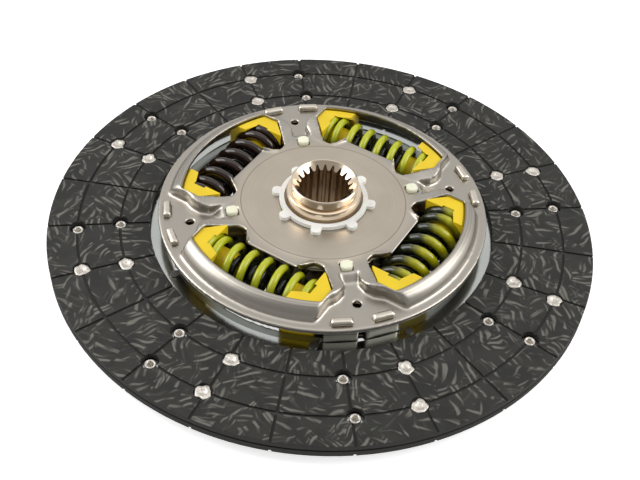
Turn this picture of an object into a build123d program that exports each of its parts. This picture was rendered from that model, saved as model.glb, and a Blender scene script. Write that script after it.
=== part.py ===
from build123d import *
from math import atan2, cos, degrees, pi, radians, sin, sqrt
import os

# Clutch disc. All sizes are in millimetres. The axis is Z, and heights in this file are measured
# from the disc's mid-plane, through the middle of the hub flange. export() lifts every piece so
# that the disc rests on z = 0. Spring windows are centred on X and Y, spokes lie between them.

# Facings and their cushion
facing_od = 300.0
facing_id = 190.0
facing_t = 3.4
radial_grooves = 24
groove_w = 1.5
groove_depth = 1.0
cushion_t = 0.7
cushion_wave = 0.25            # how far a paddle's two flats stand off the middle plane
cushion_id = 174.8
paddle_gap = 5.0
paddle_root_r = 96.5
paddle_edge = 2.0              # the paddles end this far inside the facing's rim

# Facing rivets: each paddle has two through each facing
paddles = 8
rivet_rows_r = (111.0, 133.8)
rivet_offset = 15.75           # sideways from the paddle's middle
head_r = 4.6
head_t = 1.1
head_sunk = 0.35
shank_r = 2.4
rivet_bore_r = 1.5
clinch_r = 3.4
clinch_t = 1.2
far_hole_r = 4.6
rivet_play = 0.1

# Rivets that hold the cushion to the lower side plate
cushion_rivet_turn = 16.2      # degrees either side of a spoke's middle
cushion_head_r = 2.3
cushion_head_t = 0.5
cushion_shank_r = 1.6

# Side plates: formed sheet, the lower one the mirror image of the upper
plate_t = 2.8
plate_gap = 10.6               # between the two rims' inner faces
plate_od = 180.6
lower_plate_od = 184.6
centre_rise = 3.7              # the centre stands this much above the spokes
centre_r = 55.6
centre_foot_r = 60.2
centre_inset = 1.2             # the raised centre's inner face is this much smaller
boss_line_r = 45.3
boss_line_rise = 0.35
plate_bore_r = 23.7
locating_hole_r = 2.2
locating_hole_at = 73.7
bend_r = 3.2

# Spring windows and the ridge round each
windows = 4
ridge_foot_r = 85.1            # the outer ridge starts here on the rim
ridge_curve = 9.0
ridge_height = 8.2             # above the rim
window_outer_r = 77.4
window_inner_x = 51.3
window_half = 39.4             # half the length, to the faces that the seats bear on
window_end_x = 56.0            # where the slanting corner meets the end face
notch_x = 43.0
notch_low_y = 21.5
notch_high_y = 26.5
chord_half = 16.0
notch_fillet = 2.6
end_wall = 1.7
bulge = 2.0                    # the ridge's end swells by this much round the slanting corner
nose_stand = 0.5               # a ridge's inner end above the raised centre
ridge_roll = 3.0               # rounding along a ridge's crest
ridge_corner = 3.5             # rounding of its walls' upright corners

# Tabs that tie the lower plate to the upper one
tab_face_r = 86.6
tab_w = 17.8
tab_turn = 7.2                 # degrees either side of a spoke's middle
tongue_w = 9.6
head_w = 11.6                  # the staked head on the tongue's end
head_l = 4.3
head_h = 2.8
head_chamfer = 0.9
slot_play = 0.15

# Coil springs: two kinds of outer spring, one kind of inner spring
spring_x = 61.0
spring_half = 31.4
outer_coil_r = 14.3
spring_room = 0.3              # between an outer spring and the side plates
light_wire = 4.1
heavy_wire = 5.2
outer_turns = 6.5
inner_coil_r = 8.3
inner_wire = 3.0
inner_turns = 5.5
ground_share = 0.9             # of a wire's thickness, that the pitch leaves to the ends

# Spring seats
seat_face_y = 30.0
seat_play = 0.1
seat_half_height = 14.2
seat_outer_r = 81.9
seat_shoulder = 5.5
seat_inner_x = 48.0
seat_arm_y = 22.8
seat_arm_root_x = 64.2
seat_arm_x = 68.0
cup_play = 0.3
cup_depth = 1.5                # the coil's end sits this far into the seat's face
seat_boss_r = 8.3
seat_boss = 13.0
boss_chamfer = 1.2
seat_corner = 0.6

# Hub
hub_r = 20.4
hub_top = 25.7
hub_bottom = -15.2
hub_nose_r = 18.2
hub_nose_h = 5.4
hub_groove = 0.7
spline_teeth = 21
spline_major_r = 15.4
spline_minor_r = 13.2
groove_root = 0.31             # half a groove's width, as a share of the tooth pitch
groove_tip = 0.10
spline_lead_r = 17.1
low_lead_r = 16.2
flange_t = 8.0
flange_disc_r = 46.2
arm_r = 82.3
arm_play = 0.1

# Bushes, friction washers and the cone spring
bush_play = 0.08
bush_wall_play = 0.1
ring_r = 24.3
ring_inner_r = 21.7
ring_stand = 2.4
ring_tabs = 8
ring_tab_r = 28.6
ring_tab_w = 5.6
ring_tab_corner = 2.4
bush_flange_r = 34.0
friction_r = 47.5
friction_inner_r = 35.0
friction_t = 2.0
peg_at = 50.8
peg_w = 6.2
peg_l = 6.2
peg_corner = 2.4
peg_lobe_w = 11.0
peg_stand = 1.7
cone_inner_r = 36.0
cone_outer_r = 45.8
cone_t = 0.9
thrust_t = 1.9
stack_play = 0.08

# Heights that follow from the sizes above
rim_low = plate_gap / 2
rim_top = rim_low + plate_t
centre_top = rim_top + centre_rise
centre_low = centre_top - plate_t
ridge_top = rim_top + ridge_height
curve_x = ridge_foot_r - ridge_curve
curve_h = ridge_top - ridge_curve
flange_top = flange_t / 2
cushion_low = -rim_low
cushion_mid = cushion_low + cushion_t / 2
upper_facing_low = cushion_mid + cushion_t / 2 + cushion_wave
upper_facing_top = upper_facing_low + facing_t
rest_height = ridge_top        # the lower ridges' crests stand on the floor
spokes = [(k + 0.5) * 360 / windows for k in range(windows)]
window_turns = [k * 360 / windows for k in range(windows)]
paddle_turns = [k * 360 / paddles for k in range(paddles)]
centred = (Align.CENTER, Align.CENTER, Align.MIN)


def turned(shape, degrees_about_axis):
    return Rot(0, 0, degrees_about_axis) * shape


def ring(inner, outer, low, high):
    """A flat ring between two radii and two heights."""
    disc = Cylinder(outer, high - low, align=centred) - Cylinder(inner, high - low, align=centred)
    return Pos(0, 0, low) * disc


def spun(*corners):
    """Turn an outline of (radius, height) corners round the axis."""
    return revolve(Plane.XZ * make_face(Polyline(*corners, close=True)), Axis.Z)


def both_sides(points):
    """Close an outline by mirroring its upper half in the X axis, counter-clockwise."""
    return [(x, -y) for x, y in points] + list(reversed(points))


# Window outlines

def window_opening():
    """The hole in a side plate: chord, relief notches, slanting corners, square ends and rim arc."""
    end_r_x = sqrt(window_outer_r ** 2 - window_half ** 2)
    half = [
        (window_inner_x, chord_half),
        (notch_x, notch_low_y),
        (notch_x, notch_high_y),
        (window_end_x, window_half),
        (end_r_x, window_half),
    ]
    sides = Polyline(*reversed(half), *[(x, -y) for x, y in half])
    rim = ThreePointArc((end_r_x, -window_half), (window_outer_r, 0), (end_r_x, window_half))
    face = make_face([sides, rim])
    notch_corners = [v for v in face.vertices() if v.X < window_inner_x - 1]
    face = fillet(notch_corners, notch_fillet)
    return extrude(face, ridge_top + 1)


def ridge_foot():
    """The outline of the raised frame round a window where it leaves the plate.

    Its middle lies inside the opening, so that the flat sheet runs up to the window's chord."""
    end_y = window_half + end_wall
    half = [
        (window_inner_x + 2.0, chord_half - 2.0),
        (notch_x + 0.6, notch_low_y - 2.5),
        (notch_x - 2.0, notch_high_y - 2.0),
        (notch_x - 1.5, notch_high_y + 6.5),
        (notch_x + 4.2, end_y + 0.2),
        (window_end_x - 4.0, end_y + bulge + 0.4),
        (window_end_x + 1.5, end_y + bulge),
        (window_end_x + 6.0, end_y),
        (ridge_foot_r + 6.0, end_y),
    ]
    return make_face(Polyline(*both_sides(half), close=True))


def is_upright(edge):
    box = edge.bounding_box()
    return box.size.X < 0.01 and box.size.Y < 0.01


def at_window_end(edge):
    place = edge.center()
    return notch_x - 3 < place.X < window_end_x + 8 and abs(place.Y) > notch_low_y


def ridge():
    """One window's raised frame as a solid lump, with a rolled crest and inner ends that run out."""
    lump = extrude(Pos(0, 0, rim_low) * ridge_foot(), ridge_top)
    lump = fillet([edge for edge in lump.edges() if is_upright(edge) and at_window_end(edge)], ridge_corner)
    shoulder = Plane.XZ * (
        Pos(curve_x, curve_h) * Circle(ridge_curve)
        + Pos(curve_x / 2, ridge_top / 2) * Rectangle(curve_x, ridge_top)
        + Pos(curve_x / 2 + ridge_curve / 2, curve_h / 2) * Rectangle(curve_x + ridge_curve, curve_h)
    )
    lump = lump & revolve(shoulder, Axis.Z)
    crest = [
        edge for edge in lump.edges()
        if edge.bounding_box().max.Z > rim_top + 1
        and not is_upright(edge)
        and abs(edge.center().Y) > notch_low_y
    ]
    lump = fillet(crest, ridge_roll)
    low = centre_top + nose_stand
    run_out = notch_x - 3
    full_x = window_end_x + 6
    slope = Bezier((run_out, low), (run_out + 8, low), (full_x - 10, ridge_top), (full_x, ridge_top))
    border = Polyline(
        (full_x, ridge_top), (facing_id, ridge_top), (facing_id, 0), (0, 0), (0, low), (run_out, low)
    )
    return lump & extrude(Plane.XZ * make_face([slope, border]), facing_id / 2, both=True)


def ridge_hollow():
    """The room under the outer ridge, where the springs and their seats run."""
    curve_inner = ridge_curve - plate_t
    profile = Plane.XZ * (
        Pos(curve_x, curve_h) * Circle(curve_inner)
        + Pos(curve_x - curve_inner, curve_h) * Rectangle(2 * curve_inner, 2 * curve_inner)
        + Pos(curve_x, curve_h / 2) * Rectangle(2 * curve_inner, curve_h)
    )
    slab = Box(facing_id, 2 * window_half, 2 * ridge_top)
    this_side = Pos(facing_id / 2, 0, 0) * Box(facing_id, facing_id, 2 * ridge_top)
    return revolve(profile, Axis.Z) & slab & this_side


def centre_room():
    """The room under the raised centre, which the ridges' inner ends may not fill."""
    return spun(
        (0, 0), (centre_foot_r - centre_inset, 0), (centre_foot_r - centre_inset, rim_low),
        (centre_r - centre_inset, centre_low),
        (boss_line_r + 1, centre_low), (boss_line_r, centre_low + boss_line_rise),
        (0, centre_low + boss_line_rise),
    )


def side_plate(outer_r):
    """The sheet common to both side plates, in the upper one's place."""
    sheet = spun(
        (plate_bore_r, centre_low + boss_line_rise), (boss_line_r, centre_low + boss_line_rise),
        (boss_line_r + 1, centre_low), (centre_r - centre_inset, centre_low),
        (centre_foot_r - centre_inset, rim_low),
        (outer_r, rim_low), (outer_r, rim_top), (centre_foot_r, rim_top), (centre_r, centre_top),
        (boss_line_r + 1, centre_top), (boss_line_r, centre_top + boss_line_rise),
        (plate_bore_r, centre_top + boss_line_rise),
    )
    frame = ridge()
    hollow = ridge_hollow()
    opening = window_opening()
    for turn in window_turns:
        sheet = sheet + turned(frame, turn)
    spring = Rot(90, 0, 0) * Cylinder(outer_coil_r + spring_room, 2 * (spring_half + spring_room))
    spring = Pos(spring_x, 0, 0) * spring
    for turn in window_turns:
        sheet = sheet - turned(hollow, turn) - turned(opening, turn) - turned(spring, turn)
    sheet = sheet - centre_room()
    for turn in spokes:
        hole = Pos(locating_hole_at, 0, 0) * Cylinder(locating_hole_r, rim_top + 1, align=centred)
        sheet = sheet - turned(hole, turn)
    return sheet


def tab_turns():
    return [turn + side * tab_turn for turn in spokes for side in (-1, 1)]


def upper_side_plate():
    plate = side_plate(plate_od / 2)
    tongue_middle = tab_face_r - plate_t / 2
    slot = Pos(tongue_middle, 0, 0) * Box(plate_t + 2 * slot_play, tongue_w + 2 * slot_play, 3 * rim_top)
    for turn in tab_turns():
        plate = plate - turned(slot, turn)
    peg_hole = Pos(peg_at, 0, 0) * Box(peg_l + 2 * slot_play, peg_w + 2 * slot_play, 3 * centre_top)
    for turn in spokes:
        plate = plate - turned(peg_hole, turn)
    return plate


def tab():
    """A tab bent up from the lower plate's edge, with the narrower tongue that is staked over."""
    inner_face = tab_face_r - plate_t
    inner_bend = bend_r - plate_t
    foot_x = tab_face_r - bend_r
    bend_h = -rim_low + inner_bend
    top = rim_low - 0.05
    profile = Polyline((foot_x - 6, -rim_top), (foot_x, -rim_top))
    profile += ThreePointArc(
        (foot_x, -rim_top),
        (foot_x + bend_r * sin(pi / 4), bend_h - bend_r * cos(pi / 4)),
        (tab_face_r, bend_h),
    )
    profile += Polyline(
        (tab_face_r, bend_h), (tab_face_r, top), (inner_face, top), (inner_face, bend_h)
    )
    profile += ThreePointArc(
        (inner_face, bend_h),
        (foot_x + inner_bend * sin(pi / 4), bend_h - inner_bend * cos(pi / 4)),
        (foot_x, -rim_low),
    )
    profile += Polyline((foot_x, -rim_low), (foot_x - 6, -rim_low), (foot_x - 6, -rim_top))
    strip = extrude(Plane.XZ * make_face(profile), tab_w / 2, both=True)
    middle = tab_face_r - plate_t / 2
    tongue = Pos(middle, 0, top - 1) * Box(plate_t, tongue_w, rim_top + 2 - top, align=centred)
    head = Pos(middle, 0, rim_top + stack_play) * Box(head_l, head_w, head_h, align=centred)
    head = chamfer(head.edges().group_by(Axis.Z)[-1], head_chamfer)
    head = fillet(head.edges().filter_by(Axis.Z), head_chamfer)
    return strip + tongue + head


def lower_side_plate():
    plate = mirror(side_plate(lower_plate_od / 2), about=Plane.XY)
    foot_x = tab_face_r - bend_r
    relief = Pos(foot_x, 0, -rim_top - 1) * Box(
        lower_plate_od / 2, 2 * (tab_w + 3.5), plate_t + 2, align=(Align.MIN, Align.CENTER, Align.MIN)
    )
    for turn in spokes:
        plate = plate - turned(relief, turn)
    for turn in tab_turns():
        plate = plate + turned(tab(), turn)
    hole = Cylinder(cushion_shank_r + rivet_play, 4 * rim_top)
    for place in cushion_rivet_places():
        plate = plate - place * hole
    return plate


# Facings, cushion and their rivets

def rivet_places(side):
    """Centres of the rivets whose heads are in one facing: the two on that side of each paddle."""
    places = []
    for turn in paddle_turns:
        for row_r in rivet_rows_r:
            along = sqrt(row_r ** 2 - rivet_offset ** 2)
            places.append(turned(Pos(along, side * rivet_offset, 0), turn))
    return places


def facing():
    """A facing with its working face at height facing_t: grooves, head recesses and clearance holes."""
    disc = ring(facing_id / 2, facing_od / 2, 0, facing_t)
    floor = facing_t - groove_depth
    for row_r in rivet_rows_r:
        disc = disc - ring(row_r - groove_w / 2, row_r + groove_w / 2, floor, facing_t + 1)
    groove = Pos(facing_id / 2 - 5, 0, floor) * Box(
        facing_od / 2, groove_w, groove_depth + 1, align=(Align.MIN, Align.CENTER, Align.MIN)
    )
    pitch = 360 / radial_grooves
    for k in range(radial_grooves):
        disc = disc - turned(groove, (k + 0.5) * pitch)
    recess_low = facing_t - head_sunk - head_t
    recess = Pos(0, 0, recess_low) * Cylinder(head_r + rivet_play, facing_t, align=centred)
    recess = recess + Cylinder(shank_r + rivet_play, facing_t, align=centred)
    for place in rivet_places(1):
        disc = disc - place * recess
    far_hole = Cylinder(far_hole_r, 3 * facing_t)
    for place in rivet_places(-1):
        disc = disc - place * far_hole
    return disc


def upper_facing():
    return Pos(0, 0, upper_facing_low) * facing()


def lower_facing():
    """The same facing turned over about X, so its heads fall on the other side of each paddle."""
    return Pos(0, 0, 2 * cushion_mid - upper_facing_low) * Rot(180, 0, 0) * facing()


def cushion_disc():
    disc = ring(cushion_id / 2, paddle_root_r, cushion_low, cushion_low + cushion_t)
    tip_r = facing_od / 2 - paddle_edge
    reach = tip_r * sin(pi / paddles)
    high, low = cushion_mid + cushion_wave, cushion_mid - cushion_wave
    half_t = cushion_t / 2
    wave = Polyline(
        (-reach, low - half_t), (-3, low - half_t), (3, high - half_t), (reach, high - half_t),
        (reach, high + half_t), (3, high + half_t), (-3, low + half_t), (-reach, low + half_t), close=True,
    )
    strip = extrude(Plane.YZ * make_face(wave), tip_r)
    band = ring(paddle_root_r - 1.5, tip_r, cushion_low - 1, cushion_low + cushion_t + 1)
    half_angle = 180 / paddles - degrees(paddle_gap / 2 / facing_id * 2)
    edge_y = tip_r * sin(radians(half_angle))
    sector = Polyline((0, 0), (tip_r, edge_y), (tip_r + 9, 0), (tip_r, -edge_y), close=True)
    wedge = extrude(make_face(sector), rest_height, both=True)
    paddle = strip & band & wedge
    for turn in paddle_turns:
        disc = disc + turned(paddle, turn)
    hole = Cylinder(shank_r + rivet_play, 4 * rim_top)
    for side in (-1, 1):
        for place in rivet_places(side):
            disc = disc - place * hole
    hole = Cylinder(cushion_shank_r + rivet_play, 4 * rim_top)
    for place in cushion_rivet_places():
        disc = disc - place * hole
    return disc


def facing_rivet():
    """A tubular rivet with its head up, head top at facing_t above the cushion's middle plane."""
    top = upper_facing_top - cushion_mid - head_sunk
    seat = top - head_t
    foot = -cushion_t / 2 - cushion_wave
    body = spun(
        (0, top), (head_r - 0.5, top), (head_r, top - 0.4), (head_r, seat), (shank_r, seat),
        (shank_r, foot), (clinch_r, foot), (clinch_r - 0.5, foot - clinch_t),
        (rivet_bore_r, foot - clinch_t), (rivet_bore_r, foot + 0.6), (0, foot + 0.6),
    )
    return body


def facing_rivets(side):
    """The rivets headed in the upper facing (side 1) or in the lower one (side -1)."""
    body = facing_rivet() if side > 0 else Rot(180, 0, 0) * facing_rivet()
    return Compound(children=[Pos(0, 0, cushion_mid) * place * body for place in rivet_places(side)])


def cushion_rivet_places():
    turns = [turn + side * cushion_rivet_turn for turn in spokes for side in (-1, 1)]
    at = (tab_face_r + lower_plate_od / 2) / 2
    return [turned(Pos(at, 0, 0), turn) for turn in turns]


# Springs and seats

def coil(coil_r, wire, turns, length):
    """A coil spring with ground ends, lying along Y across the window."""
    wire_r = wire / 2
    path_r = coil_r - wire_r
    pitch = (length - ground_share * wire) / turns
    path = Helix(pitch=pitch, height=length, radius=path_r)
    section = Plane(origin=path @ 0, z_dir=path % 0) * Circle(wire_r)
    bar = Pos(0, 0, -length / 2) * sweep(section, path=path)
    bar = bar & Box(4 * coil_r, 4 * coil_r, length)
    return Pos(spring_x, 0, 0) * Rot(-90, 0, 0) * bar


def spring_seat():
    """The seat at a window's +Y end: slanted inner corner, guard arm outside the coil, boss inside it."""
    back = window_half - seat_play
    end_x = sqrt(seat_outer_r ** 2 - back ** 2)
    arm_end_x = sqrt(seat_outer_r ** 2 - seat_arm_y ** 2)
    mid_turn = (atan2(back, end_x) + atan2(seat_arm_y, arm_end_x)) / 2
    slant = back - (window_end_x + seat_corner - seat_inner_x)
    inner = Polyline(
        (end_x, back), (window_end_x + seat_corner, back),
        (seat_inner_x, slant), (seat_inner_x, seat_face_y),
        (seat_arm_root_x, seat_face_y), (seat_arm_x, seat_arm_y), (arm_end_x, seat_arm_y),
    )
    outer = ThreePointArc(
        (arm_end_x, seat_arm_y), (seat_outer_r * cos(mid_turn), seat_outer_r * sin(mid_turn)), (end_x, back)
    )
    block = extrude(make_face([inner, outer]), seat_half_height, both=True)
    shoulder_h = seat_half_height - seat_shoulder
    envelope = spun(
        (0, seat_half_height), (seat_outer_r - seat_shoulder, seat_half_height), (seat_outer_r, shoulder_h),
        (seat_outer_r, -shoulder_h), (seat_outer_r - seat_shoulder, -seat_half_height),
        (0, -seat_half_height),
    )
    cup_floor = Pos(spring_x, seat_face_y + cup_depth, 0) * Rot(90, 0, 0)
    cup = cup_floor * Cylinder(outer_coil_r + cup_play, seat_boss + cup_depth, align=centred)
    boss = cup_floor * Pos(0, 0, -1) * Cylinder(seat_boss_r, seat_boss + cup_depth + 1, align=centred)
    boss = chamfer(boss.edges().group_by(Axis.Y)[0], boss_chamfer)
    return (block & envelope) - cup + boss


def seat_at(turn, end):
    """The seat at one end (1 or -1) of the window at this turn."""
    seat = spring_seat() if end > 0 else mirror(spring_seat(), about=Plane.XZ)
    return turned(seat, turn)


# Hub

def spline_cutter():
    """The toothed hole: straight-flanked teeth between the minor and major radii."""
    step = 360 / spline_teeth
    outline = []
    for k in range(spline_teeth):
        for share, r in (
            (-groove_root, spline_minor_r), (-groove_tip, spline_major_r),
            (groove_tip, spline_major_r), (groove_root, spline_minor_r),
        ):
            turn = radians((k + share) * step)
            outline.append((r * cos(turn), r * sin(turn)))
    return extrude(make_face(Polyline(*outline, close=True)), hub_top - hub_bottom + 2)


def lead_in(end, mouth_r, way):
    """A 45 degree cone that opens the splines at one end of the hub (way 1 up, -1 down)."""
    past = 1
    tip_r = spline_minor_r - past
    depth = mouth_r - tip_r
    return spun(
        (0, end + way * past), (mouth_r + past, end + way * past),
        (tip_r, end - way * depth), (0, end - way * depth),
    )


def hub_arm():
    """A flange arm between two windows: its sides follow the seats' backs and slanting corners."""
    flank = window_half + arm_play - seat_play
    tip = sqrt(arm_r ** 2 - flank ** 2)
    corner = [(notch_x, notch_high_y), (window_end_x, flank), (tip, flank)]
    other = [(y, x) for x, y in corner]
    sides = Polyline((tip, flank), *reversed(corner[:2]), (0, 0), *other[:2], (flank, tip))
    end = ThreePointArc((flank, tip), (arm_r * cos(pi / 4), arm_r * sin(pi / 4)), (tip, flank))
    return Pos(0, 0, -flange_top) * extrude(make_face([sides, end]), flange_t)


def hub():
    nose_foot = hub_top - hub_nose_h
    body = spun(
        (0, hub_bottom), (hub_r - 1, hub_bottom), (hub_r, hub_bottom + 1), (hub_r, nose_foot - 1.4),
        (hub_r - 0.4, nose_foot - 0.6), (hub_r - 1.2, nose_foot - 0.2), (hub_nose_r - hub_groove, nose_foot),
        (hub_nose_r - hub_groove, nose_foot + 0.6), (hub_nose_r, nose_foot + 1.0),
        (hub_nose_r, hub_top - 0.5), (hub_nose_r - 0.5, hub_top), (0, hub_top),
    )
    flange = Pos(0, 0, -flange_top) * Cylinder(flange_disc_r, flange_t, align=centred)
    for turn in window_turns:
        flange = flange + turned(hub_arm(), turn)
    body = body + flange
    body = body - Pos(0, 0, hub_bottom - 1) * spline_cutter()
    return body - lead_in(hub_top, spline_lead_r, 1) - lead_in(hub_bottom, low_lead_r, -1)


# Bushes and washers

def upper_bush():
    """The white bush round the hub: guiding sleeve, inner flange, and a collar with radial tabs on top."""
    sleeve_r = plate_bore_r - bush_wall_play
    guide_r = hub_r + bush_play
    collar_low = centre_top + boss_line_rise
    collar_top = collar_low + ring_stand
    flange_low = flange_top + stack_play
    under = centre_low + boss_line_rise - stack_play
    body = spun(
        (guide_r, flange_low), (bush_flange_r, flange_low), (bush_flange_r, under), (sleeve_r, under),
        (sleeve_r, collar_low), (ring_r, collar_low), (ring_r, collar_top), (ring_inner_r, collar_top),
        (ring_inner_r, collar_low - 1), (guide_r, collar_low - 2.2),
    )
    finger = Pos(sleeve_r, 0, collar_low) * Box(
        ring_tab_r - sleeve_r, ring_tab_w, ring_stand - 0.2, align=(Align.MIN, Align.CENTER, Align.MIN)
    )
    finger = fillet(finger.edges().filter_by(Axis.Z).group_by(Axis.X)[-1], ring_tab_corner)
    for k in range(ring_tabs):
        body = body + turned(finger, (k + 0.5) * 360 / ring_tabs)
    return body


def lower_bush():
    """The lower bush: sleeve in the lower plate's bore and a flange against the thrust washer."""
    guide_r = hub_r + bush_play
    flange_high = -flange_top - thrust_t - 2 * stack_play
    under = -(centre_low + boss_line_rise - stack_play)
    foot = -(centre_top + boss_line_rise)
    return ring(guide_r, bush_flange_r, under, flange_high) + ring(
        guide_r, plate_bore_r - bush_wall_play, foot, flange_high
    )


def thrust_washer():
    high = -flange_top - stack_play
    return ring(hub_r + bush_play, bush_flange_r, high - thrust_t, high)


def friction_washer():
    """The friction washer under the upper plate, held by four pegs in the plate's windows."""
    high = centre_low - stack_play
    washer = ring(friction_inner_r, friction_r, high - friction_t, high)
    lobe_end = peg_at + peg_l / 2 + slot_play
    lobe = Pos(friction_r - 2, 0, high - friction_t) * Box(
        lobe_end - friction_r + 2, peg_lobe_w, friction_t, align=(Align.MIN, Align.CENTER, Align.MIN)
    )
    peg = Pos(peg_at, 0, high - friction_t) * Box(
        peg_l, peg_w, centre_top + peg_stand - high + friction_t, align=centred
    )
    peg = fillet(peg.edges().filter_by(Axis.Z), peg_corner)
    peg = chamfer(peg.edges().group_by(Axis.Z)[-1], 0.5)
    for turn in spokes:
        washer = washer + turned(lobe, turn) + turned(peg, turn)
    return washer


def cone_spring():
    """The cone spring between the hub flange and the friction washer."""
    low = flange_top + stack_play
    high = centre_low - friction_t - 2 * stack_play
    return spun(
        (cone_inner_r, high - cone_t), (cone_outer_r, low),
        (cone_outer_r, low + cone_t), (cone_inner_r, high),
    )


def cushion_rivets():
    """Flat-headed rivets that hold the cushion disc to the lower side plate's rim."""
    top = cushion_low + cushion_t
    body = spun(
        (0, top + cushion_head_t), (cushion_head_r, top + cushion_head_t), (cushion_head_r, top),
        (cushion_shank_r, top), (cushion_shank_r, -rim_top), (cushion_head_r, -rim_top),
        (cushion_head_r, -rim_top - cushion_head_t), (0, -rim_top - cushion_head_t),
    )
    return Compound(children=[place * body for place in cushion_rivet_places()])


def export(name, shape):
    export_step(Pos(0, 0, rest_height) * shape, os.path.join("parts", name + ".step"))


os.makedirs("parts", exist_ok=True)
export("upper_side_plate", upper_side_plate())
export("lower_side_plate", lower_side_plate())
export("facing_upper", upper_facing())
export("facing_lower", lower_facing())
export("cushion_disc", cushion_disc())
export("facing_rivets_upper", facing_rivets(1))
export("facing_rivets_lower", facing_rivets(-1))
export("cushion_rivets", cushion_rivets())
export("hub", hub())
export("upper_bush", upper_bush())
export("lower_bush", lower_bush())
export("thrust_washer", thrust_washer())
export("friction_washer", friction_washer())
export("cone_spring", cone_spring())
inner_length = 2 * (seat_face_y - seat_boss - seat_play)
for k, turn in enumerate(window_turns):
    wire = light_wire if k % 2 else heavy_wire
    export(f"outer_spring_{k + 1}", turned(coil(outer_coil_r, wire, outer_turns, 2 * spring_half), turn))
    export(f"inner_spring_{k + 1}", turned(coil(inner_coil_r, inner_wire, inner_turns, inner_length), turn))
    export(f"spring_seat_{2 * k + 1}", seat_at(turn, -1))
    export(f"spring_seat_{2 * k + 2}", seat_at(turn, 1))
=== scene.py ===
# %% [markdown]
# # A clutch disc
# The disc that a gearbox shaft carries: two riveted friction facings on a waved steel disc, two
# formed side plates with four spring windows, and a hub that may twist between the plates against
# the springs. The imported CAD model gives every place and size. This lesson gives it its looks.

# %% Load the frame
import math
import random

import bmesh
import bpy
from mathutils import Matrix, Vector


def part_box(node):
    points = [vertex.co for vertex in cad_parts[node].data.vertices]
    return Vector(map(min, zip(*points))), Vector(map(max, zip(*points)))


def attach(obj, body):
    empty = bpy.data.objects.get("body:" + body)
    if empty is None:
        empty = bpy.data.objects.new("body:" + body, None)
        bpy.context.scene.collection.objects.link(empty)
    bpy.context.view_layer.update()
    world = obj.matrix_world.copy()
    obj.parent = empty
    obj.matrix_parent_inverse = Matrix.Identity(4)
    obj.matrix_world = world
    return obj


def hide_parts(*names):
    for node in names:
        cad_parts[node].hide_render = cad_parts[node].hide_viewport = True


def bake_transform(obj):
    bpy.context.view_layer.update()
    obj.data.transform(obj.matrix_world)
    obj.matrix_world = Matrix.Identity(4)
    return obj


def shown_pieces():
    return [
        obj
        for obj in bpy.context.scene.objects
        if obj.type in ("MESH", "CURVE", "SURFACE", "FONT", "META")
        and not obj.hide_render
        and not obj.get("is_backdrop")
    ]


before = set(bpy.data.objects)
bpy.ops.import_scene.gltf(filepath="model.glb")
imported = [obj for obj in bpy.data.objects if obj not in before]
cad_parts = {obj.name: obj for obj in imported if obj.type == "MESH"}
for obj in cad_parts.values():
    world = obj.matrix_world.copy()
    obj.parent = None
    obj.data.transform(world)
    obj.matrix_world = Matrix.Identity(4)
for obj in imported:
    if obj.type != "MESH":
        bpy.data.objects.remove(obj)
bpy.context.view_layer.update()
MM = 0.001
plates = "driven_plate"
hub_body = "hub_assembly"

# %% [markdown]
# ## Places read from the frame
# The finishes and the new springs need a few of the model's own places. A box of triangles can miss
# a round wire's true edge by a hair, so the readings are rounded to a hundredth of a millimetre.

# %% Read the places


def spread(node, axis):
    """The middle of a node's box along an axis, and half its size there."""
    lowest, highest = (corner[axis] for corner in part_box(node))
    return round((lowest + highest) / 2, 5), round((highest - lowest) / 2, 5)


X, Y, Z = range(3)
lower_middle, lower_half = spread("facing_lower", Z)
upper_middle, upper_half = spread("facing_upper", Z)
facing_bottom = lower_middle - lower_half
facing_top = upper_middle + upper_half
disc_middle = (facing_bottom + facing_top) / 2
facing_reach = (facing_top - facing_bottom) / 2
spring_at, outer_radius = spread("outer_spring_1", X)
spring_height = spread("outer_spring_1", Z)[0]
outer_half_length = spread("outer_spring_1", Y)[1]
inner_radius = spread("inner_spring_1", X)[1]
inner_half_length = spread("inner_spring_1", Y)[1]
print("disc middle", disc_middle, "springs at", spring_at, "and", spring_height)

# %% [markdown]
# ## The camera
# A product picture is taken from above one side with a long lens, so that the round disc reads as
# a calm ellipse. The camera is given by what a photographer would note: where it looks, its
# bearing, its height above the table, a slight roll, and its distance.

# %% Place the camera
camera_aim = Vector((4.207, -8.386, 6.036)) * MM
camera_bearing = math.radians(28.864)
camera_height = math.radians(45.186)
camera_roll = math.radians(4.009)
camera_distance = 556.18 * MM
camera_lens = 56.063
sensor_width = 36
nearest_seen = 10 * MM

bpy.ops.object.camera_add()
camera = bpy.context.object
camera.name = "camera"
camera.data.lens = camera_lens
camera.data.sensor_width = sensor_width
camera.data.clip_start = nearest_seen
look = Matrix.Rotation(camera_bearing, 4, "Z") @ Matrix.Rotation(math.pi / 2 - camera_height, 4, "X")
look = look @ Matrix.Rotation(camera_roll, 4, "Z")
camera.matrix_world = Matrix.Translation(camera_aim) @ look @ Matrix.Translation((0, 0, camera_distance))
bpy.context.scene.camera = camera
print("camera at", [round(v, 3) for v in camera.matrix_world.translation])

# %% [markdown]
# ## Shader sums as plain expressions
# A material is a web of small nodes, and sums in it soon hide what they mean. The first class below
# wraps an output socket, so that `1 - mask * 0.5` adds its own Math nodes. In the second class,
# every other node comes from one method, `add`, which takes the node's type, its settings and its
# sockets. The third class is such a web that ends in a Principled shader. A pattern's scale is
# given in waves per millimetre.

# %% Wrap sockets so that they do sums


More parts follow.
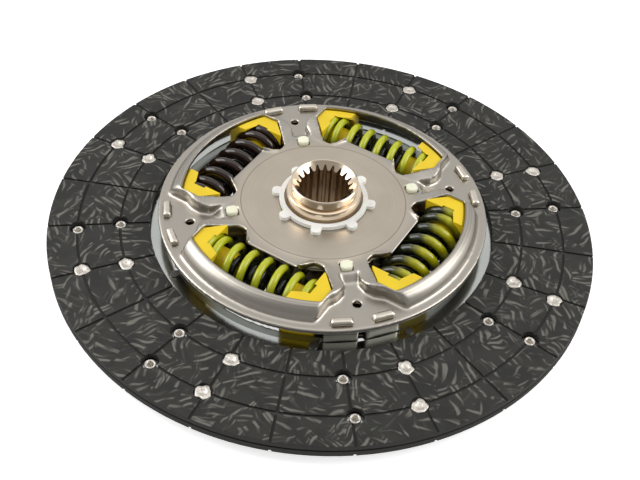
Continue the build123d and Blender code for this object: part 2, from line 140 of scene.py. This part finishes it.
class Signal:
    """An output socket of a web, which can be used in sums."""

    def __init__(self, web, socket):
        self.web = web
        self.socket = socket

    def sum(self, operation, *values):
        return self.web.add("Math", {"operation": operation}, dict(enumerate(values)))

    def __add__(self, other):
        return self.sum("ADD", self, other)

    def __radd__(self, other):
        return self.sum("ADD", other, self)

    def __sub__(self, other):
        return self.sum("SUBTRACT", self, other)

    def __rsub__(self, other):
        return self.sum("SUBTRACT", other, self)

    def __mul__(self, other):
        return self.sum("MULTIPLY", self, other)

    def __rmul__(self, other):
        return self.sum("MULTIPLY", other, self)

    def __abs__(self):
        return self.sum("ABSOLUTE", self)

    def root(self):
        return self.sum("SQRT", self)

    def larger(self, other):
        return self.sum("MAXIMUM", self, other)

    def above(self, low, high):
        """0 below low, 1 above high, and a smooth step between them."""
        sockets = {"Value": self, "From Min": low, "From Max": high}
        return self.web.add("MapRange", {"interpolation_type": "SMOOTHSTEP"}, sockets)


class Web:
    """The nodes of a material or of the world, added one by one."""

    def __init__(self, tree):
        self.tree = tree

    def add(self, kind, settings=None, sockets=None, out=0):
        node = self.tree.nodes.new("ShaderNode" + kind)
        for key, value in (settings or {}).items():
            setattr(node, key, value)
        for key, value in (sockets or {}).items():
            self.feed(node.inputs[key], value)
        return Signal(self, node.outputs[out])

    def feed(self, socket, value):
        if isinstance(value, Signal):
            self.tree.links.new(value.socket, socket)
        elif socket.type == "RGBA":
            socket.default_value = (*value, 1)
        else:
            socket.default_value = value

    def parts(self, vector):
        """The X, Y and Z of a vector signal."""
        first = self.add("SeparateXYZ", sockets={"Vector": vector})
        return [Signal(self, first.socket.node.outputs[k]) for k in range(3)]


class Finish(Web):
    """A material that ends in a Principled shader.

    place is a point in metres, grid the same in millimetres, and ground the colour under any marks."""

    def __init__(self, name):
        self.material = bpy.data.materials.new(name)
        self.material.use_nodes = True
        super().__init__(self.material.node_tree)
        self.shader = self.tree.nodes["Principled BSDF"]
        self.place = self.add("TexCoord", out="Object")
        self.grid = self.stretched(self.place, 1 / MM, 1 / MM, 1 / MM)
        self.x, self.y, self.z = self.parts(self.place)
        self.ground = None

    def noise(self, vector, waves, detail, roughness=0.5):
        sockets = {"Vector": vector, "Scale": waves, "Detail": detail, "Roughness": roughness}
        return self.add("TexNoise", sockets=sockets)

    def stretched(self, vector, x, y, z):
        return self.add("VectorMath", {"operation": "MULTIPLY"}, {0: vector, 1: (x, y, z)})

    def mixed(self, share, first, second):
        """A colour between two, by share."""
        sockets = {0: share, 6: first, 7: second}
        return self.add("Mix", {"data_type": "RGBA"}, sockets, out=2)

    def mottled(self, mottle, colour, darkest):
        """The ground: the colour, down to a darkest share of it where mottle is low."""
        self.ground = self.mixed(mottle.above(0.3, 0.7), [v * darkest for v in colour], colour)
        return self.ground

    def radius(self):
        """Distance from the disc's axis, in metres."""
        return (self.x * self.x + self.y * self.y).root()

    def bump(self, height, depth):
        """A Normal from a height signal; depth in metres."""
        return self.add("Bump", sockets={"Height": height, "Distance": depth})

    def give(self, **sockets):
        """Set the shader's sockets by name, where an underscore stands for a space."""
        for key, value in sockets.items():
            self.feed(self.shader.inputs[key.replace("_", " ")], value)


# %% [markdown]
# ## The floor and the light
# Polished sheet steel shows whatever stands round it, so it needs large soft light and a few
# darker gaps rather than bright lamps. A white room gives the first, and one dim wall and the
# disc's own relief give the second. The floor is plain and pale, and glows a little to the camera
# alone, so that it stays in the picture only as a soft shadow and throws no light up at the disc.

# %% Lay the floor
floor_size = 3.0
floor_white = (0.86, 0.86, 0.86)
floor_glow = (0.65, 0.65, 0.65)

bpy.ops.object.select_all(action="DESELECT")
bpy.ops.mesh.primitive_plane_add(size=floor_size)
floor = bpy.context.object
floor.name = "floor"
floor_finish = Finish("floor_paper")
seen_directly = floor_finish.add("LightPath", out="Is Camera Ray")
floor_finish.give(
    Base_Color=floor_white,
    Roughness=0.9,
    Specular_IOR_Level=0.1,
    Emission_Color=floor_finish.mixed(seen_directly, (0, 0, 0), floor_glow),
    Emission_Strength=1.0,
)
floor.data.materials.append(floor_finish.material)
floor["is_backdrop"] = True
print("floor:", [round(v, 2) for v in floor.dimensions])

# %% [markdown]
# Mirrors see two bright side walls, a fair back wall and a dim one behind the camera, all darker at
# the foot. Everything else is lit by an even white, and the backdrop itself is plain white.

# %% Build the room
# An edge is where one wall turns into the next: -1 is straight away from the camera, 1 towards it.
# The foot's edge is by height.
room_light = 0.6
back_light = 0.92
side_light = 1.35
front_light = 0.36
foot_share = 0.75
back_edge = (-0.6, -0.2)
front_edge = (0.12, 0.5)
foot_edge = (0.0, 0.3)
to_camera = (math.sin(camera_bearing), -math.cos(camera_bearing), 0)

world = bpy.data.worlds.new("room")
bpy.context.scene.world = world
world.use_nodes = True
room = Web(world.node_tree)
way = room.add("TexCoord", out="Generated")
height = room.parts(way)[Z]
toward = room.add("VectorMath", {"operation": "DOT_PRODUCT"}, {0: way, 1: to_camera}, out="Value")
walls = back_light + toward.above(*back_edge) * (side_light - back_light)
walls = walls * (1 - toward.above(*front_edge) * (1 - front_light / side_light))
walls = walls * (foot_share + height.above(*foot_edge) * (1 - foot_share))
glossy = room.add("LightPath", out="Is Glossy Ray")
plain = room.add("LightPath", out="Is Camera Ray").larger(room.add("LightPath", out="Is Transmission Ray"))
lit = room_light + glossy * (walls - room_light)
background = room.tree.nodes["Background"]
room.feed(background.inputs["Strength"], lit + plain * (1 - lit))
room.feed(background.inputs["Color"], (1, 1, 1))
bpy.context.scene.view_settings.view_transform = "Standard"
print("room nodes:", len(room.tree.nodes))

# %% [markdown]
# Two large soft lamps, one on either side, draw the long highlights along the ridges and the coils.

# %% Hang the lamps
lamp_size = 0.6
lamp_distance = 0.9
lamp_height = math.radians(38)
lamp_aim = Vector((0, 0, 15)) * MM


def hang_lamp(name, bearing, power):
    """A square area lamp that looks at the disc's middle."""
    bpy.ops.object.light_add(type="AREA")
    lamp = bpy.context.object
    lamp.name = name
    lamp.data.size = lamp_size
    lamp.data.energy = power
    turn = Matrix.Rotation(math.radians(bearing), 4, "Z")
    tilt = Matrix.Rotation(math.pi / 2 - lamp_height, 4, "X")
    away = Matrix.Translation((0, 0, lamp_distance))
    lamp.matrix_world = Matrix.Translation(lamp_aim) @ turn @ tilt @ away


hang_lamp("left_lamp", bearing=-70, power=4.0)
hang_lamp("right_lamp", bearing=118, power=3.4)

# %% [markdown]
# ## Friction lining
# The facings are pressed from glass or aramid fibre, rubber and resin. Bundles of fibre show as
# pale strokes in a charcoal ground, and each patch of them lies its own way. Large Voronoi cells
# pick that way patch by patch. Inside a patch, a second Voronoi pattern is stretched along it, and
# the blots at its cells' middles become the strokes. A layer of long strokes and one of short
# strokes share the facing between them. The grooves are bare of fibre and painted a lighter grey, a painted
# light against their shade.

# %% Mix the friction lining
lining_dark = (0.0095, 0.0092, 0.0075)
lining_light = (0.018, 0.0175, 0.0145)
lining_grit = (0.05, 0.049, 0.043)
groove_painted_light = (0.030, 0.029, 0.025)
fibre_colour = (0.165, 0.158, 0.135)
grit_cover = 0.4
groove_light_cover = 0.8
fibre_cover = 0.8
groove_wall = (0.2 * MM, 0.6 * MM)
sway_waves = 0.07
sway_reach = 9


def fibre_strokes(finish, shift, patch, length, spacing):
    """Long thin blots side by side, patch by patch, sized in millimetres; shift moves the pattern."""
    shifted = {0: finish.place, 1: (1 / MM, 1 / MM, 0), 2: shift}
    spot = finish.add("VectorMath", {"operation": "MULTIPLY_ADD"}, shifted)
    sway = finish.add("TexNoise", sockets={"Vector": spot, "Scale": sway_waves, "Detail": 1.0}, out="Color")
    swayed = {0: sway, 1: (sway_reach, sway_reach, 0), 2: spot}
    spot = finish.add("VectorMath", {"operation": "MULTIPLY_ADD"}, swayed)
    nearest = {"voronoi_dimensions": "2D", "feature": "F1"}
    edges = {"voronoi_dimensions": "2D", "feature": "DISTANCE_TO_EDGE"}
    patches = {"Vector": spot, "Scale": 1 / patch}
    picked_way = finish.add("TexVoronoi", nearest, patches, out="Color")
    border = finish.add("TexVoronoi", edges, patches)
    turn = finish.parts(picked_way)[0] * math.pi
    lay = finish.add("VectorRotate", {"rotation_type": "Z_AXIS"}, {"Vector": spot, "Angle": turn})
    lay = finish.stretched(lay, 1 / length, 1 / spacing, 0)
    blots = finish.add("TexVoronoi", nearest, {"Vector": lay, "Scale": 1.0})
    return (1 - blots.above(0.10, 0.34)) * border.above(0.0, 0.05)


lining = Finish("friction_lining")
long_strokes = fibre_strokes(lining, shift=(0, 0, 0), patch=17, length=30.0, spacing=3.1)
short_strokes = fibre_strokes(lining, shift=(31, 57, 0), patch=13, length=20.0, spacing=2.7)
cloud = lining.noise(lining.grid, waves=0.09, detail=2.0).above(0.35, 0.65)
grain = lining.noise(lining.grid, waves=3.0, detail=3.0)
presence = lining.noise(lining.grid, waves=0.10, detail=1.0).above(0.40, 0.52)
strokes = long_strokes * presence + short_strokes * (0.75 - presence * 0.6)
depth = facing_reach - abs(lining.z - disc_middle)
in_groove = depth.above(*groove_wall)
shown = strokes * (1 - in_groove)
ground = lining.mixed(cloud, lining_dark, lining_light)
ground = lining.mixed(grain.above(0.55, 0.75) * grit_cover, ground, lining_grit)
# Painted light: the grooves are lightened so that their shade reads dark grey, not black.
ground = lining.mixed(in_groove * groove_light_cover, ground, groove_painted_light)
lining.give(
    Base_Color=lining.mixed(shown * fibre_cover, ground, fibre_colour),
    Roughness=0.72 - shown * 0.2,
    Normal=lining.bump(grain * 0.35 - shown, 0.06 * MM),
    Specular_IOR_Level=0.4,
)
print("lining nodes:", len(lining.tree.nodes))

# %% [markdown]
# ## Metals
# All the metals are one idea with other numbers: a colour, a roughness, a fine streak in both,
# and a shallow bump of the same streak. A turned part is streaked round its axis, and a pressed
# rivet head is only slightly uneven.

# %% Mix the metals


def turned_place(finish):
    """A point's distance from the disc's axis and its height."""
    return finish.add("CombineXYZ", sockets={0: finish.radius(), 1: 0.0, 2: finish.z})


def metal(name, colour, roughness, streak, depth, turned=False):
    """A bare metal; streak is how the noise is scaled along X, Y and Z, in waves per millimetre.

    A turned metal is streaked round the disc's axis: its X is then the distance from the axis."""
    finish = Finish(name)
    way = turned_place(finish) if turned else finish.place
    way = finish.stretched(way, *[v / MM for v in streak])
    lines = finish.noise(way, waves=1.0, detail=3.0, roughness=0.6)
    cloud = finish.noise(finish.grid, waves=0.05, detail=2.0)
    finish.give(
        Base_Color=finish.mottled(lines * 0.6 + cloud * 0.4, colour, darkest=0.84),
        Metallic=1.0,
        Roughness=roughness + (lines - 0.5) * 0.08,
        Normal=finish.bump(lines, depth),
    )
    return finish


plate_streak = (4, 0, 4)
hub_streak = (0, 0, 7)
band_streak = (2, 2, 2)
rivet_streak = (0.9, 0.9, 0.9)
plate_score = 0.0025 * MM
plate_steel = metal("plate_steel", (0.53, 0.47, 0.39), 0.33, plate_streak, plate_score, turned=True)
# Painted light: the lower plate's steel is lighter than the upper plate's, for the bright band of its rim.
lower_steel = metal("lower_plate_steel", (0.66, 0.61, 0.52), 0.32, plate_streak, plate_score, turned=True)
band_steel = metal("spring_steel", (0.55, 0.57, 0.55), 0.16, band_streak, 0.001 * MM)
hub_steel = metal("hub_steel", (0.82, 0.68, 0.52), 0.17, hub_streak, 0.003 * MM, turned=True)
rivet_metal = metal("rivet_metal", (0.66, 0.62, 0.56), 0.5, rivet_streak, 0.05 * MM)
# Painted shade: the cushion rivets sit in the dark gap between the plates, so their metal is made very
# dark.
shaded_rivet_metal = metal("cushion_rivet_metal", (0.16, 0.155, 0.15), 0.5, rivet_streak, 0.02 * MM)
print("finishes:", [m.name for m in bpy.data.materials])

# %% [markdown]
# The upper plate's raised centre keeps the steel's ground, with one thin dark line round it. Further
# out the sheet is a darker colour, and its ridges are scuffed.

# %% Mark the upper plate
line_radius = 45.3 * MM
line_width = (0.1 * MM, 0.45 * MM)
centre_top = (27.2 * MM, 27.4 * MM)
centre_edge = (0.0, 8.0 * MM)
ridge_tops = (29.5 * MM, 31.5 * MM)
# Outside the centre the sheet is given a darker colour.
outer_sheet = (0.41, 0.38, 0.335)
scuffed_sheet = (0.29, 0.27, 0.235)
line_colour = (0.12, 0.11, 0.09)
line_cover = 0.55

way = plate_steel.stretched(turned_place(plate_steel), 1 / MM, 0, 1 / MM)
scuffs = plate_steel.noise(way, waves=1.3, detail=3.0, roughness=0.6)
scuffs = (1 - scuffs.above(0.35, 0.62)) * plate_steel.z.above(*ridge_tops)
from_line = plate_steel.radius() - line_radius
ring_line = (1 - abs(from_line).above(*line_width)) * plate_steel.z.above(*centre_top)
outside = plate_steel.mixed(scuffs, outer_sheet, scuffed_sheet)
sheet = plate_steel.mixed(from_line.above(*centre_edge), plate_steel.ground, outside)
plate_steel.give(Base_Color=plate_steel.mixed(ring_line * line_cover, sheet, line_colour))
print("upper plate nodes:", len(plate_steel.tree.nodes))

# %% [markdown]
# The lower plate's upward inner face, shaded by the upper plate, is given a darker colour: painted
# shade. Its outside, its wall and the staked heads keep the plate's ground, and a dark line is scored round
# the wall.

# %% Mark the lower plate
score_height = 17.2 * MM
score_width = (0.1 * MM, 0.3 * MM)
outer_wall = (85.5 * MM, 86.1 * MM)
wall_inside = (87.0 * MM, 88.5 * MM)
staked_heads = (25.0 * MM, 26.0 * MM)
score_colour = (0.03, 0.03, 0.03)
score_cover = 0.8
# Painted shade: a darker colour for the lower plate's inner face, where the upper plate shades it.
painted_shade_sheet = (0.25, 0.26, 0.245)

score = 1 - abs(lower_steel.z - score_height).above(*score_width)
score = score * lower_steel.radius().above(*outer_wall)
facing = lower_steel.add("TexCoord", out="Normal")
shaded_face = lower_steel.parts(facing)[Z].above(-0.1, 0.2)
shaded_face = shaded_face * (1 - lower_steel.radius().above(*wall_inside)) * (1 - lower_steel.z.above(*staked_heads))
inside = lower_steel.mixed(shaded_face, lower_steel.ground, painted_shade_sheet)
lower_steel.give(Base_Color=lower_steel.mixed(score * score_cover, inside, score_colour))
print("lower plate nodes:", len(lower_steel.tree.nodes))

# %% [markdown]
# The lining rivets' heads are specked with small dull spots.

# %% Speck the rivets
speck_colour = (0.27, 0.24, 0.22)
speck_cover = 0.6
specks = rivet_metal.noise(rivet_metal.grid, waves=1.1, detail=3.0).above(0.5, 0.62)
rivet_metal.give(Base_Color=rivet_metal.mixed(specks * speck_cover, rivet_metal.ground, speck_colour))
print("rivet nodes:", len(rivet_metal.tree.nodes))

# %% [markdown]
# ## Plastics and painted coils
# The seats, the bush and the pegs are moulded: one colour, a soft sheen and a faint unevenness.
# The springs are dipped in coloured lacquer, which pools into a smooth coat that mirrors the room.
# Bright paint is then sprayed over the dark outer one from above. The two green ones are lime on top over a
# dark green below, which is painted shade.

# %% Mix the plastics and the lacquers


def plastic(name, colour, roughness, glow=0.0):
    """A moulded plastic; glow is the share of light that soaks into it."""
    finish = Finish(name)
    fine = finish.noise(finish.grid, waves=1.5, detail=3.0)
    cloud = finish.noise(finish.grid, waves=0.08, detail=1.0)
    finish.give(
        Base_Color=finish.mottled(cloud, colour, darkest=0.92),
        Roughness=roughness + (fine - 0.5) * 0.15,
        Normal=finish.bump(fine, 0.02 * MM),
        Subsurface_Weight=glow,
        Subsurface_Scale=2 * MM,
    )
    return finish


def lacquer(name, colour, roughness=0.16):
    """A coil's dipped coat."""
    finish = Finish(name)
    cloud = finish.noise(finish.grid, waves=0.35, detail=2.0)
    finish.give(
        Base_Color=finish.mottled(cloud, colour, darkest=0.8),
        Roughness=roughness + (cloud - 0.5) * 0.1,
        Normal=finish.bump(cloud, 0.05 * MM),
        Coat_Weight=0.5,
        Coat_Roughness=0.05,
        Specular_IOR_Level=0.3,
    )
    return finish


def paint_and_shade_from_above(finish, colour, low, high, lean):
    """Paint sprayed on a coil, which on the green coils leaves a dark green underside as painted shade;
    lean is how far the spray tilts outward from straight above.

    Along the spray, measured from the coil's middle, the paint starts at low and covers from high."""
    outward = abs(finish.x).larger(abs(finish.y)) - spring_at
    side = outward * math.sin(lean) + (finish.z - spring_height) * math.cos(lean)
    patchy = finish.noise(finish.grid, waves=0.25, detail=2.0) - 0.5
    cover = (side + patchy * (4 * MM)).above(low, high)
    finish.give(Base_Color=finish.mixed(cover, finish.ground, colour))


yellow_plastic = plastic("yellow_plastic", (0.84, 0.60, 0.012), 0.42)
white_nylon = plastic("white_nylon", (0.93, 0.92, 0.87), 0.45, glow=0.2)
cream_plastic = plastic("cream_plastic", (0.88, 0.88, 0.68), 0.45, glow=0.1)
green_coil = lacquer("green_coil", (0.10, 0.12, 0.012))
brown_coil = lacquer("brown_coil", (0.020, 0.009, 0.005), roughness=0.10)
inner_coil = lacquer("inner_coil", (0.010, 0.010, 0.010))
dark_coil = lacquer("dark_coil", (0.020, 0.024, 0.010))
paint_and_shade_from_above(dark_coil, (0.56, 0.54, 0.006), low=7.8 * MM, high=16.5 * MM, lean=0.6)
# On the green coils, the lime top over a dark green underside is painted light and shade; their own colour
# is lime all round.
paint_and_shade_from_above(green_coil, (0.50, 0.53, 0.006), low=3.0 * MM, high=15.0 * MM, lean=0.0)
print("finishes:", [m.name for m in bpy.data.materials])

# %% [markdown]
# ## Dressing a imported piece
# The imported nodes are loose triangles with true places. A merged copy of one can be smoothed and
# can have its sharp edges eased by a Bevel modifier, and so catches a line of light along every
# edge as pressed and moulded parts do. The two side plates are drawn sheet, which is round at every
# bend, so their copies are laid anew in small squares and relaxed instead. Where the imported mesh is
# good enough, it only gets its finish.

# %% Make merged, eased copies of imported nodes
merge_reach = 0.002 * MM
flat_angle = math.radians(0.4)
sheet_square = 0.78 * MM
edge_weight = 90
sharp_edge = math.radians(35)


def made_active(piece):
    """Select a piece alone, for the operators."""
    bpy.ops.object.select_all(action="DESELECT")
    piece.select_set(True)
    bpy.context.view_layer.objects.active = piece


def new_piece(name, data, finish):
    """An object in the scene for a mesh, in one finish."""
    data.materials.clear()
    data.materials.append(finish.material)
    piece = bpy.data.objects.new(name, data)
    bpy.context.scene.collection.objects.link(piece)
    return piece


def changed(piece, kind, **settings):
    """Add a modifier with these settings and apply it."""
    modifier = piece.modifiers.new(kind.lower(), kind)
    for key, value in settings.items():
        setattr(modifier, key, value)
    bpy.ops.object.modifier_apply(modifier=modifier.name)


def dressed(node, body, finish, ease=0.0, rolled=0):
    """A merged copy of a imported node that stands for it, its edges eased by this many metres.

    With rolled, its skin is laid anew in small squares and relaxed that many times, as drawn sheet is."""
    piece = new_piece(node + "_finished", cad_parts[node].data.copy(), finish)
    made_active(piece)
    bpy.ops.object.mode_set(mode="EDIT")
    bpy.ops.mesh.select_all(action="SELECT")
    bpy.ops.mesh.customdata_custom_splitnormals_clear()
    bpy.ops.mesh.remove_doubles(threshold=merge_reach)
    bpy.ops.mesh.dissolve_limited(angle_limit=flat_angle)
    bpy.ops.object.mode_set(mode="OBJECT")
    if rolled:
        changed(piece, "REMESH", mode="VOXEL", voxel_size=sheet_square)
        changed(piece, "SMOOTH", factor=0.5, iterations=rolled)
        bpy.ops.object.shade_smooth()
    else:
        changed(piece, "BEVEL", width=ease, segments=2, limit_method="ANGLE", angle_limit=sharp_edge)
        bpy.ops.object.shade_smooth_by_angle(angle=sharp_edge)
        changed(piece, "WEIGHTED_NORMAL", keep_sharp=True, weight=edge_weight)
    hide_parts(node)
    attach(piece, body)


seat_count = 8
dressed("facing_upper", plates, lining, ease=0.15 * MM)
dressed("facing_lower", plates, lining, ease=0.15 * MM)
dressed("cushion_disc", plates, band_steel, ease=0.08 * MM)
dressed("upper_side_plate", plates, plate_steel, rolled=7)
dressed("lower_side_plate", plates, lower_steel, rolled=2)
dressed("hub", hub_body, hub_steel, ease=0.1 * MM)
dressed("upper_bush", plates, white_nylon, ease=0.2 * MM)
dressed("friction_washer", plates, cream_plastic, ease=0.3 * MM)
for k in range(1, seat_count + 1):
    seat_body = hub_body if k % 2 else plates
    dressed("spring_seat_%d" % k, seat_body, yellow_plastic, ease=0.4 * MM)
kept_nodes = {
    "lower_bush": white_nylon,
    "cushion_rivets": shaded_rivet_metal,
    "thrust_washer": band_steel,
    "cone_spring": band_steel,
}
for name, finish in kept_nodes.items():
    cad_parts[name].material_slots[0].material = finish.material

# %% [markdown]
# ## Coil springs
# A wound spring is one round wire whose last turn closes up and is ground flat. Its middle turns
# keep one pitch. The wire is swept ring by ring, and the ends are cut by clamping every vertex to
# the spring's length. A spring may turn freely in its seats, so each outer one has its own crown.

# %% Wind the springs
rings_per_turn = 20
wire_sides = 14
crease = math.radians(50)
sliver = 0.005 * MM
# In wire widths: a closed turn's pitch, and how far from the end the turns begin to close.
closed_pitch = 1.03
closed_from = 1.7
closing_turns = 0.8


def turn_reach(wire, pitch, half_length):
    """How far each ring of half a spring lies from its middle, out to just past its end.

    The pitch shrinks to a closed turn's over closing_turns, near the end."""
    reach = [0.0]
    straight = (half_length - closed_from * wire) / pitch
    while reach[-1] < half_length + wire / 2:
        made = len(reach) / rings_per_turn
        slack = min(max((made - straight) / closing_turns, 0), 1)
        reach.append(reach[-1] + (pitch + (wire * closed_pitch - pitch) * slack) / rings_per_turn)
    return reach


def made_piece(name, mesh, finish):
    """A piece from a mesh under edit, which is then let go."""
    data = bpy.data.meshes.new(name)
    mesh.to_mesh(data)
    mesh.free()
    return new_piece(name, data, finish)


def lofted(mesh, rings):
    """Faces between rings of as many vertices, where a ring of one vertex is a tip."""
    for first, second in zip(rings, rings[1:]):
        sides = max(len(first), len(second))
        for side in range(sides):
            after = (side + 1) % sides
            if len(first) == 1:
                mesh.faces.new((first[0], second[side], second[after]))
            elif len(second) == 1:
                mesh.faces.new((first[side], second[0], first[after]))
            else:
                mesh.faces.new((first[side], first[after], second[after], second[side]))


def wound(name, coil_radius, wire, pitch, half_length, crown, turn, finish, slot):
    """A spring across the window at this turn; crown is where one of its turns is highest."""
    centre_radius = coil_radius - wire / 2
    reach = turn_reach(wire, pitch, half_length)
    mesh = bmesh.new()
    rings = []
    for k in range(1 - len(reach), len(reach)):
        along = math.copysign(reach[abs(k)], k)
        spin = 2 * math.pi * (k / rings_per_turn - crown / pitch)
        outward = Vector((math.sin(spin), 0, math.cos(spin)))
        ring = []
        for side in range(wire_sides):
            around = 2 * math.pi * side / wire_sides
            spot = outward * (centre_radius + wire / 2 * math.cos(around))
            spot.y = min(max(along + wire / 2 * math.sin(around), -half_length), half_length)
            ring.append(mesh.verts.new(spot))
        rings.append(ring)
    lofted(mesh, rings)
    mesh.faces.new(rings[0])
    mesh.faces.new(rings[-1])
    bmesh.ops.dissolve_degenerate(mesh, dist=sliver, edges=mesh.edges[:])
    bmesh.ops.recalc_face_normals(mesh, faces=mesh.faces[:])
    lay = Matrix.Rotation(turn, 4, "Z") @ Matrix.Translation((spring_at, 0, spring_height))
    mesh.transform(lay)
    piece = made_piece(name + "_wound", mesh, finish)
    made_active(piece)
    bpy.ops.object.shade_smooth_by_angle(angle=crease)
    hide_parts(name)
    ends = [lay @ Vector((0, end * (half_length - wire), 0)) for end in (1, -1)]
    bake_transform(piece)


light_wire = 4.1 * MM
light_pitch = 9.2 * MM
heavy_wire = 5.2 * MM
heavy_pitch = 9.7 * MM
inner_wire = 3.0 * MM
inner_pitch = 6.0 * MM
inner_crown = 1.5 * MM
outer_springs = (
    (heavy_wire, heavy_pitch, -4.8 * MM, dark_coil, "dark_coil"),
    (light_wire, light_pitch, -1.9 * MM, green_coil, "green_coil"),
    (heavy_wire, heavy_pitch, 4.5 * MM, brown_coil, "brown_coil"),
    (light_wire, light_pitch, 1.0 * MM, green_coil, "green_coil"),
)
for k, (wire, pitch, crown, finish, slot) in enumerate(outer_springs):
    turn = math.radians(90 * k)
    outer = (outer_radius, wire, pitch, outer_half_length, crown)
    inner = (inner_radius, inner_wire, inner_pitch, inner_half_length, inner_crown)
    wound("outer_spring_%d" % (k + 1), *outer, turn, finish, slot)
    wound("inner_spring_%d" % (k + 1), *inner, turn, inner_coil, "inner_coil")

# %% [markdown]
# ## Rivets
# A lining rivet is a soft tubular one: its head is pressed unevenly and has a shallow dimple, and
# its far end is rolled over into a bright ring round a dark bore. One function makes them all, and
# each gets an uneven outline of its own.

# %% Set the rivets
# Radius and height in millimetres: the head with its dimple, the shank, the rolled end and the bore.
rivet_profile = (
    (0.0, 2.85), (1.3, 2.90), (2.0, 3.35), (2.5, 3.50), (3.6, 3.45), (4.1, 3.20), (4.2, 2.60),
    (2.4, 2.55), (2.4, -0.9),
    (2.7, -1.0), (2.95, -1.35), (3.0, -1.75), (2.65, -2.15), (2.1, -2.2),
    (1.5, -1.7), (1.45, 1.6), (0.0, 1.6),
)
rivet_sides = 28
head_from = 2.58
dimple_floor = 1.0
head_radius = 4.3
head_limit = 4.6
lobe_counts = (2, 3, 4, 5, 7)
lobe_size = (0.02, 0.09)
lobe_start = (0, 6.3)


def rivet_mesh(seed):
    """One rivet about Z, its head up, with the uneven outline that a press leaves."""
    rng = random.Random(seed)
    lobes = [(n, rng.uniform(*lobe_size), rng.uniform(*lobe_start)) for n in lobe_counts]
    mesh = bmesh.new()
    rings = []
    for radius, height in rivet_profile:
        uneven = height > head_from and radius > dimple_floor
        ring = []
        for side in range(rivet_sides if radius else 1):
            angle = 2 * math.pi * side / rivet_sides
            sway = sum(size * math.cos(n * angle + start) for n, size, start in lobes) if uneven else 0
            reach = min(radius * (1 + sway * radius / head_radius), head_limit) * MM
            ring.append(mesh.verts.new((reach * math.cos(angle), reach * math.sin(angle), height * MM)))
        rings.append(ring)
    lofted(mesh, rings)
    bmesh.ops.recalc_face_normals(mesh, faces=mesh.faces[:])
    return mesh


paddles = 8
rivet_rows = (111.0 * MM, 133.8 * MM)
rivet_side = 15.75 * MM


def set_rivets(node, side):
    """One rivet in each row of each paddle; side is 1 for heads up and -1 for heads down."""
    number = 0
    for paddle in range(paddles):
        for row in rivet_rows:
            number += 1
            mesh = rivet_mesh(100 * side + number)
            along = math.sqrt(row ** 2 - rivet_side ** 2)
            turn = Matrix.Rotation(math.radians(360 / paddles * paddle), 4, "Z")
            spot = turn @ Vector((along, side * rivet_side, disc_middle))
            flip = Matrix.Rotation(0 if side > 0 else math.pi, 4, "X")
            mesh.transform(Matrix.Translation(spot) @ flip)
            piece = made_piece("%s_%02d" % (node, number), mesh, rivet_metal)
            for face in piece.data.polygons:
                face.use_smooth = True
            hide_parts(node)
            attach(piece, plates)


set_rivets("facing_rivets_upper", 1)
set_rivets("facing_rivets_lower", -1)
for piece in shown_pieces():
    print(piece.name, len(piece.data.polygons))
